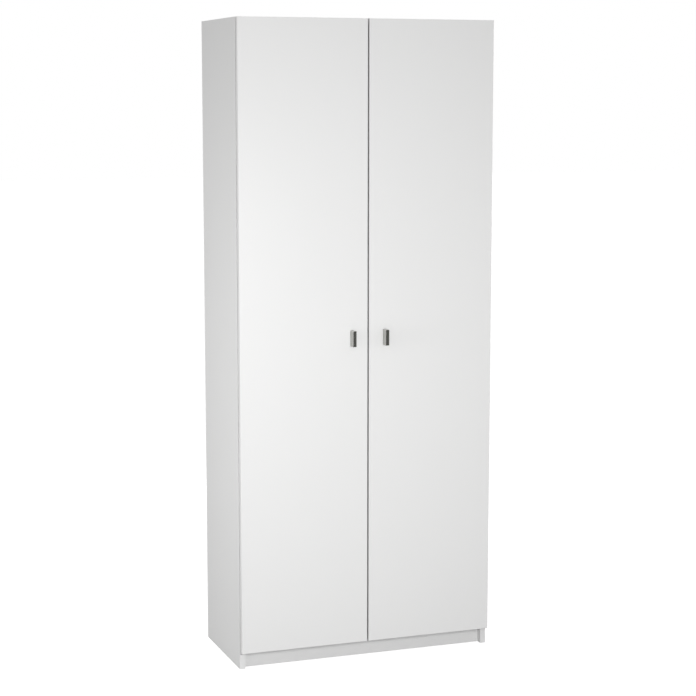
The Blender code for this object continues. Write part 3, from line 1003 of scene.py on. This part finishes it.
def fit_caps(plastic):
    """Cover caps over the cam fittings that draw the cross boards to the side boards."""
    pattern = model_cap("cap_pattern", CAP_RADIUS, CAP_HEIGHT)
    boards = (
        ("top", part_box("top_panel"), "-z"),
        ("fixed_shelf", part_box("fixed_shelf"), "-z"),
        ("floor_board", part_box("bottom_panel"), "+z"),
    )
    for word, (low, high), facing in boards:
        face = low.z if facing == "-z" else high.z
        for side, x in (("left", low.x + CAP_FROM_END), ("right", high.x - CAP_FROM_END)):
            for row, y in (("front", low.y + CAP_FROM_FRONT), ("back", high.y - CAP_FROM_REAR)):
                cap = copy_to(pattern, f"cam_cap_{word}_{side}_{row}", (x, y, face), facing)
                dress(cap, plastic, "white_plastic", "carcass")
    discard(pattern)


def fit_nails(steel):
    """Small nails that hold the back to the edges of the floor board and the fixed shelf."""
    pattern = rod("nail_pattern", (0, 0, NAIL_HEIGHT / 2), NAIL_RADIUS, NAIL_HEIGHT, sides=14)
    round_edges(pattern, NAIL_EDGE_RADIUS, test=lambda a, b: on_top(a, b, NAIL_HEIGHT))
    smooth(pattern, FITTING_SMOOTHING)
    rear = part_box("back_panel_left")[1].y
    for word, node in (("floor", "bottom_panel"), ("shelf", "fixed_shelf")):
        height = middle_of(node).z
        for index in range(NAILS_IN_ROW):
            x = FIRST_NAIL_X + index * NAIL_PITCH
            nail = copy_to(pattern, f"back_nail_{word}_{index + 1}", (x, rear, height), "+y")
            dress(nail, steel, "zinc_steel", "carcass")
    discard(pattern)


# Floor, light and camera


def lay_floor():
    """A plain floor that looks white. Only the camera sees its glow, which lights nothing."""
    deselect()
    bpy.ops.mesh.primitive_plane_add(size=FLOOR_SIZE, location=(0, 0, 0))
    floor = settle(named(bpy.context.object, "studio_floor"))
    plain = {
        "Base Color": FLOOR_GREY,
        "Roughness": 0.9,
        "Specular IOR Level": 0.0,
        "Emission Strength": FLOOR_GLOW,
    }
    finish = Finish("studio_floor", plain)
    seen = finish.node("ShaderNodeLightPath", output="Is Camera Ray")
    finish.wear("Emission Color", finish.mix(seen, (0, 0, 0), (1, 1, 1)))
    floor.data.materials.append(finish.material)


def hang_lamp(name, place, target, size, power):
    """A round soft lamp that shines at a target and isn't seen itself."""
    deselect()
    bpy.ops.object.light_add(type="AREA", location=place)
    lamp = bpy.context.object
    lamp.name = name
    lamp.data.shape = "DISK"
    lamp.data.size = size
    lamp.data.energy = power
    lamp.visible_camera = False
    lamp.rotation_euler = (Vector(target) - Vector(place)).to_track_quat("-Z", "Y").to_euler()


def light_studio():
    """Even light from all round, a white surround for the camera, and the lamps."""
    world = bpy.data.worlds.new("studio")
    bpy.context.scene.world = world
    world.use_nodes = True
    tree = world.node_tree
    surround = tree.nodes["Background"]
    surround.inputs["Color"].default_value = WHITE_LIGHT
    surround.inputs["Strength"].default_value = AMBIENT
    seen = tree.nodes.new("ShaderNodeBackground")
    seen.inputs["Color"].default_value = WHITE_LIGHT
    seen.inputs["Strength"].default_value = 1.0
    path = tree.nodes.new("ShaderNodeLightPath")
    choice = tree.nodes.new("ShaderNodeMixShader")
    tree.links.new(path.outputs["Is Camera Ray"], choice.inputs[0])
    tree.links.new(surround.outputs[0], choice.inputs[1])
    tree.links.new(seen.outputs[0], choice.inputs[2])
    tree.links.new(choice.outputs[0], tree.nodes["World Output"].inputs["Surface"])
    for lamp in LAMPS:
        hang_lamp(*lamp)


def place_camera():
    """The photograph's side of the cupboard: from the front left, below the top, looking a little down."""
    turn = (math.radians(90 - CAMERA_DOWN), 0, math.radians(CAMERA_ROUND))
    bpy.ops.object.camera_add(location=CAMERA_PLACE, rotation=turn)
    camera = bpy.context.object
    camera.name = "studio_camera"
    camera.data.sensor_width = CAMERA_FILM
    camera.data.lens = CAMERA_LENS
    bpy.context.scene.camera = camera


def main():
    zinc = plated_steel("zinc_plate", (0.50, 0.51, 0.52), (0.70, 0.71, 0.72), 0.32)
    nickel = plated_steel(
        "satin_nickel", (0.52, 0.51, 0.48), (0.70, 0.68, 0.64), 0.30, brushed=(1.0, 1.0, 0.12)
    )
    satin = plated_steel(
        "satin_pull", (0.40, 0.40, 0.385), (0.50, 0.50, 0.48), 0.36, brushed=(1.0, 1.0, 0.06)
    )
    smoked = smoked_lacquer("smoked_strip")
    drawn = white_plastic("drawn_plastic", (1.0, 1.0, 0.02))
    moulded = white_plastic("moulded_plastic")

    for side in SIDES:
        model_side_board(side)
        model_door(side)
        model_pull(side, satin)
        model_pull_strip(side, smoked)
        back = "back_panel_" + side
        refinish(back, hardboard(side + "_back_board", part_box(back)[0].y))
    model_top_board()
    model_plain_board("floor_board", "bottom_panel", ("y+",))
    model_plain_board("plinth", "plinth_board", ("z-",))
    shelves = ("adjustable_shelf_low", "fixed_shelf", "adjustable_shelf_middle", "adjustable_shelf_high")
    for node in shelves:
        model_plain_board(node + "_board", node, ("y+",))
    refinish("back_joining_strip", drawn)
    fit_pegs(zinc)
    fit_pull_screws(zinc)
    fit_pads(clear_rubber("clear_pad"))
    fit_hinges(zinc, nickel)
    fit_caps(moulded)
    fit_nails(zinc)

    lay_floor()
    light_studio()
    place_camera()
    bpy.context.scene.view_settings.view_transform = "Standard"
    bpy.context.scene.view_settings.look = "None"


main()
